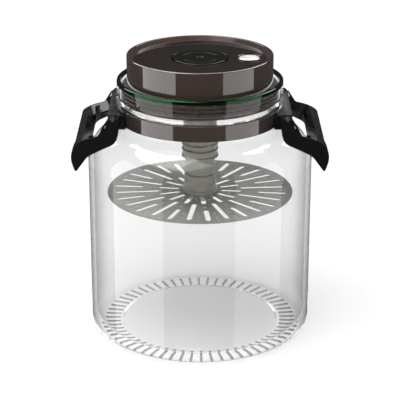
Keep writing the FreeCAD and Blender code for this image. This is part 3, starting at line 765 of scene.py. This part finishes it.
# %% Handles
def handle(name, side):
    """One handle, for side +1 (right) or -1 (left)."""
    where = "right" if side > 0 else "left"
    arm_in = HANDLE_HALF - ARM_W
    piece = to_object(bar_along_y(s_outline, -HANDLE_HALF, HANDLE_HALF, side), name, BLACK,
                      where + "_side_handle", (where + "_handle",), crease=40)
    carve(piece, block((BEHIND_X, GRIP_IN_X), (-arm_in, arm_in), (BELOW_Z, ABOVE_Z), side,
                       WINDOW_ROUND, GRIP_IN_X))
    carve(piece, block((GRIP_OUT_X, BEYOND_X), (HORN_W - HANDLE_HALF, BEYOND_Y), (BELOW_Z, ABOVE_Z),
                       side, HORN_ROUND, GRIP_OUT_X))
    carve(piece, grip_slope(side))
    carve(piece, block((BEHIND_X, GRIP_IN_X), (0, BEYOND_Y), (REAR_ROOT_Z, ABOVE_Z), side))
    for end in (-1, 1):
        carve(piece, arm_slope(SLOPE_X, end, side))
        boss = round_bar(BOSS_R, (side * PIVOT_X, end * BOSS_Y[0], PIVOT_Z),
                         (side * PIVOT_X, end * BOSS_Y[1], PIVOT_Z), 48)
        carve(piece, boss, "UNION")
    soften(piece, 38)
    print(name, "has", len(piece.data.polygons), "faces")


for name, side in (("handle_right", 1), ("handle_left", -1)):
    handle(name, side)

# %% [markdown]
# ## The brackets
#
# Each bracket is a block that hugs the band and carries the two pivot pins, on a thin curved pad. The
# block is carved to the band's radius, and two sunk screws hold it.

# %% Brackets
PAD_R = 55.9
PAD_Z = (146.8, 158.2)
PAD_SHORTER = 2.4            # the pad ends this far inside the block
PLAY = 0.02                  # between the band and what sits on it
BRACKET_HALF = 26.0
BRACKET_IN_X = 48.4
SCREW_SEAT_R = 2.7
BRACKET_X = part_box("right_bracket")[1].x / MM
BRACKET_LOW, BRACKET_HIGH = 147.4, 157.2
SCREW_Y, SCREW_Z = 14.0, 151.6


def bracket(name, side):
    """Pad, block and screw seats of one bracket."""
    where = "right" if side > 0 else "left"
    body = block((BEHIND_X, BRACKET_X), (-BRACKET_HALF, BRACKET_HALF), (BRACKET_LOW, BRACKET_HIGH),
                 side)
    piece = to_object(body, name, BLACK, "jar", (where + "_bracket",), crease=40)
    carve(piece, round_bar(BAND_R + PLAY, (0, 0, 140), (0, 0, ABOVE_Z), 256))
    carve(piece, block((30, BRACKET_IN_X), (-40, 40), (140, ABOVE_Z), side))
    for y in (-SCREW_Y, SCREW_Y):
        carve(piece, round_bar(SCREW_SEAT_R, (side * (BRACKET_X - 0.2), y, SCREW_Z),
                               (side * (BRACKET_X + 2), y, SCREW_Z), 40))
    soften(piece, 50)
    pad_outline = rounded([(BAND_R + PLAY, PAD_Z[0]), (PAD_R, PAD_Z[0], 0.5), (PAD_R, PAD_Z[1], 0.5),
                           (BAND_R + PLAY, PAD_Z[1])])
    half_angle = math.degrees(math.asin((BRACKET_HALF - PAD_SHORTER) / BAND_R))
    start = (0 if side > 0 else 180) - half_angle
    pad = spun(name + "_pad", pad_outline, BLACK, "jar", steps=48, sweep=2 * half_angle, start=start)


for name, side in (("bracket_right", 1), ("bracket_left", -1)):
    bracket(name, side)

# %% [markdown]
# ## Stage and light
#
# The photograph is a cut-out on white, lit by tall soft boxes whose reflections stand as upright
# stripes on the lid, the band and the glass. The world gives all of it. What the camera sees, directly
# or through glass, is white. What a glossy surface reflects is a dark room with bright boxes, told
# apart by compass direction. What lights a matt surface is one even level.

# %% World
ROOM_LIGHT = 0.06      # brightness of the dark room in a reflection
MATT_LIGHT = 0.85      # even light on matt surfaces
BOXES = [              # azimuth from and to, elevation from and to, in degrees, and brightness
    (-100, -38, -60, 35, 2.3),     # tall soft box at the left
    (36, 92, -60, 35, 1.7),        # tall soft box at the right
    (-160, -30, 50, 88, 5.0),      # overhead, at the left
    (125, 180, 28, 62, 5.0),       # behind, at the right
    (-180, -125, 28, 52, 5.0),     # behind, at the left
]

world = bpy.data.worlds.new("studio")
bpy.context.scene.world = world
tree = Tree(world)
direction = tree.add("ShaderNodeTexCoord").outputs["Generated"]
split = tree.add("ShaderNodeSeparateXYZ", {"Vector": direction})
to_front = tree.add("ShaderNodeMath", {0: split.outputs["Y"], 1: -1.0}, operation="MULTIPLY")
azimuth = tree.add("ShaderNodeMath", {0: split.outputs["X"], 1: to_front.outputs[0]},
                   operation="ARCTAN2").outputs[0]
elevation = tree.add("ShaderNodeMath", {0: split.outputs["Z"]}, operation="ARCSINE").outputs[0]


def window(angle, first, last):
    """1 where an angle lies between two limits in degrees, 0 elsewhere."""
    middle, half = math.radians((first + last) / 2), math.radians((last - first) / 2)
    return tree.add("ShaderNodeMath", {0: angle, 1: middle, 2: half}, operation="COMPARE").outputs[0]


glow = ROOM_LIGHT
for left, right, low, high, brightness in BOXES:
    inside = tree.add("ShaderNodeMath", {0: window(azimuth, left, right),
                                         1: window(elevation, low, high)}, operation="MULTIPLY")
    glow = tree.add("ShaderNodeMath", {0: inside.outputs[0], 1: brightness, 2: glow},
                    operation="MULTIPLY_ADD").outputs[0]
path = tree.add("ShaderNodeLightPath")
seen = tree.add("ShaderNodeMath", {0: path.outputs["Is Camera Ray"],
                                   1: path.outputs["Is Transmission Ray"]}, operation="MAXIMUM")
matt_or_gloss = tree.add("ShaderNodeMix", {0: path.outputs["Is Glossy Ray"], 2: MATT_LIGHT,
                                           3: glow}, data_type="FLOAT")
strength = tree.add("ShaderNodeMix", {0: seen.outputs[0], 2: matt_or_gloss.outputs[0], 3: 1.0},
                    data_type="FLOAT")
sky = tree.add("ShaderNodeBackground", {"Color": (1, 1, 1, 1), "Strength": strength.outputs[0]})
tree.add("ShaderNodeOutputWorld", {"Surface": sky.outputs["Background"]})
print("soft boxes in the world:", len(BOXES))

# %% Floor and lamp
FLOOR_HALF = 6.0             # metres
FLOOR_LIFT = 0.18            # added for the eye alone, so that the floor is as white as the sky
LAMP_AT = (-0.3, -0.3, 1.2)
LAMP_SIZE = (0.9, 0.6)
LAMP_WATTS = 5.0

floor_bm = bmesh.new()
bmesh.ops.create_grid(floor_bm, x_segments=4, y_segments=4, size=FLOOR_HALF)
floor_mesh = bpy.data.meshes.new("floor")
floor_bm.to_mesh(floor_mesh)
floor_bm.free()
floor = bpy.data.objects.new("floor", floor_mesh)
bpy.context.scene.collection.objects.link(floor)
floor_look = bpy.data.materials.new("white_floor")
tree = Tree(floor_look)
path = tree.add("ShaderNodeLightPath")
matt = tree.add("ShaderNodeBsdfDiffuse", {"Color": (0.9, 0.9, 0.9, 1)})
seen = tree.add("ShaderNodeMath", {0: path.outputs["Is Camera Ray"],
                                   1: path.outputs["Is Transmission Ray"]}, operation="MAXIMUM")
lift = tree.add("ShaderNodeMath", {0: seen.outputs[0], 1: FLOOR_LIFT}, operation="MULTIPLY")
added = tree.add("ShaderNodeEmission", {"Color": (1, 1, 1, 1), "Strength": lift.outputs[0]})
both = tree.add("ShaderNodeAddShader", {0: matt.outputs[0], 1: added.outputs[0]})
tree.add("ShaderNodeOutputMaterial", {"Surface": both.outputs[0]})
floor_mesh.materials.append(floor_look)
floor.visible_glossy = False

lamp_data = bpy.data.lights.new("overhead", "AREA")
lamp_data.shape = "RECTANGLE"
lamp_data.size, lamp_data.size_y = LAMP_SIZE
lamp_data.energy = LAMP_WATTS
lamp = bpy.data.objects.new("overhead", lamp_data)
lamp.location = LAMP_AT
lamp.rotation_mode = "QUATERNION"
lamp.rotation_quaternion = (Vector(LAMP_AT) - Vector((0, 0, 0.1))).to_track_quat("Z", "Y")
bpy.context.scene.collection.objects.link(lamp)
